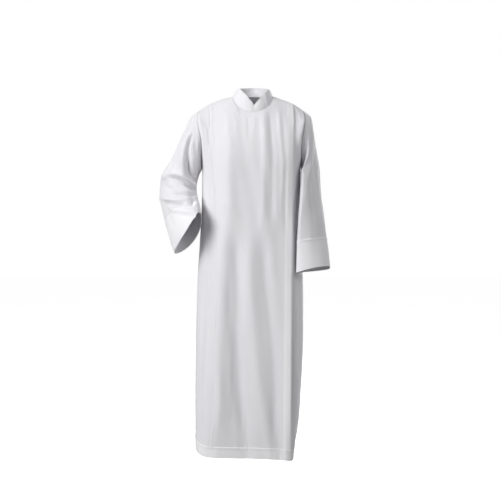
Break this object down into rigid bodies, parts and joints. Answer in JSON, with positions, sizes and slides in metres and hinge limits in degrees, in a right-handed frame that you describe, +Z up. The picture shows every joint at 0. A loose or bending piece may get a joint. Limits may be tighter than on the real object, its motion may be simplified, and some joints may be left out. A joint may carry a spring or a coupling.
{
  "type": "alb robe",
  "caption": "Ankle-length front-wrap alb in the pose it is worn in, with a stand collar, a lapped front panel and wide sleeves, one bent and one hanging.",
  "frame": {"origin": "midway between the two points where the shoulder seams meet the neckline, inside the neck opening", "axes": "+X to the wearer's left, +Y to the back, +Z up"},
  "size_m": [0.6861, 0.4065, 1.4568],
  "materials": {
    "front_panel_cloth": "matte woven",
    "side_front_cloth": "matte woven",
    "back_cloth": "matte woven",
    "sleeve_cloth": "matte woven",
    "collar_cloth": "matte woven, interfaced"
  },
  "bodies": {
    "root": {"front_panel": "front_panel_cloth", "front_side_right": "side_front_cloth", "front_side_left": "side_front_cloth", "back": "back_cloth", "sleeve_left": "sleeve_cloth", "sleeve_right": "sleeve_cloth", "collar": "collar_cloth"}
  },
  "joints": []
}
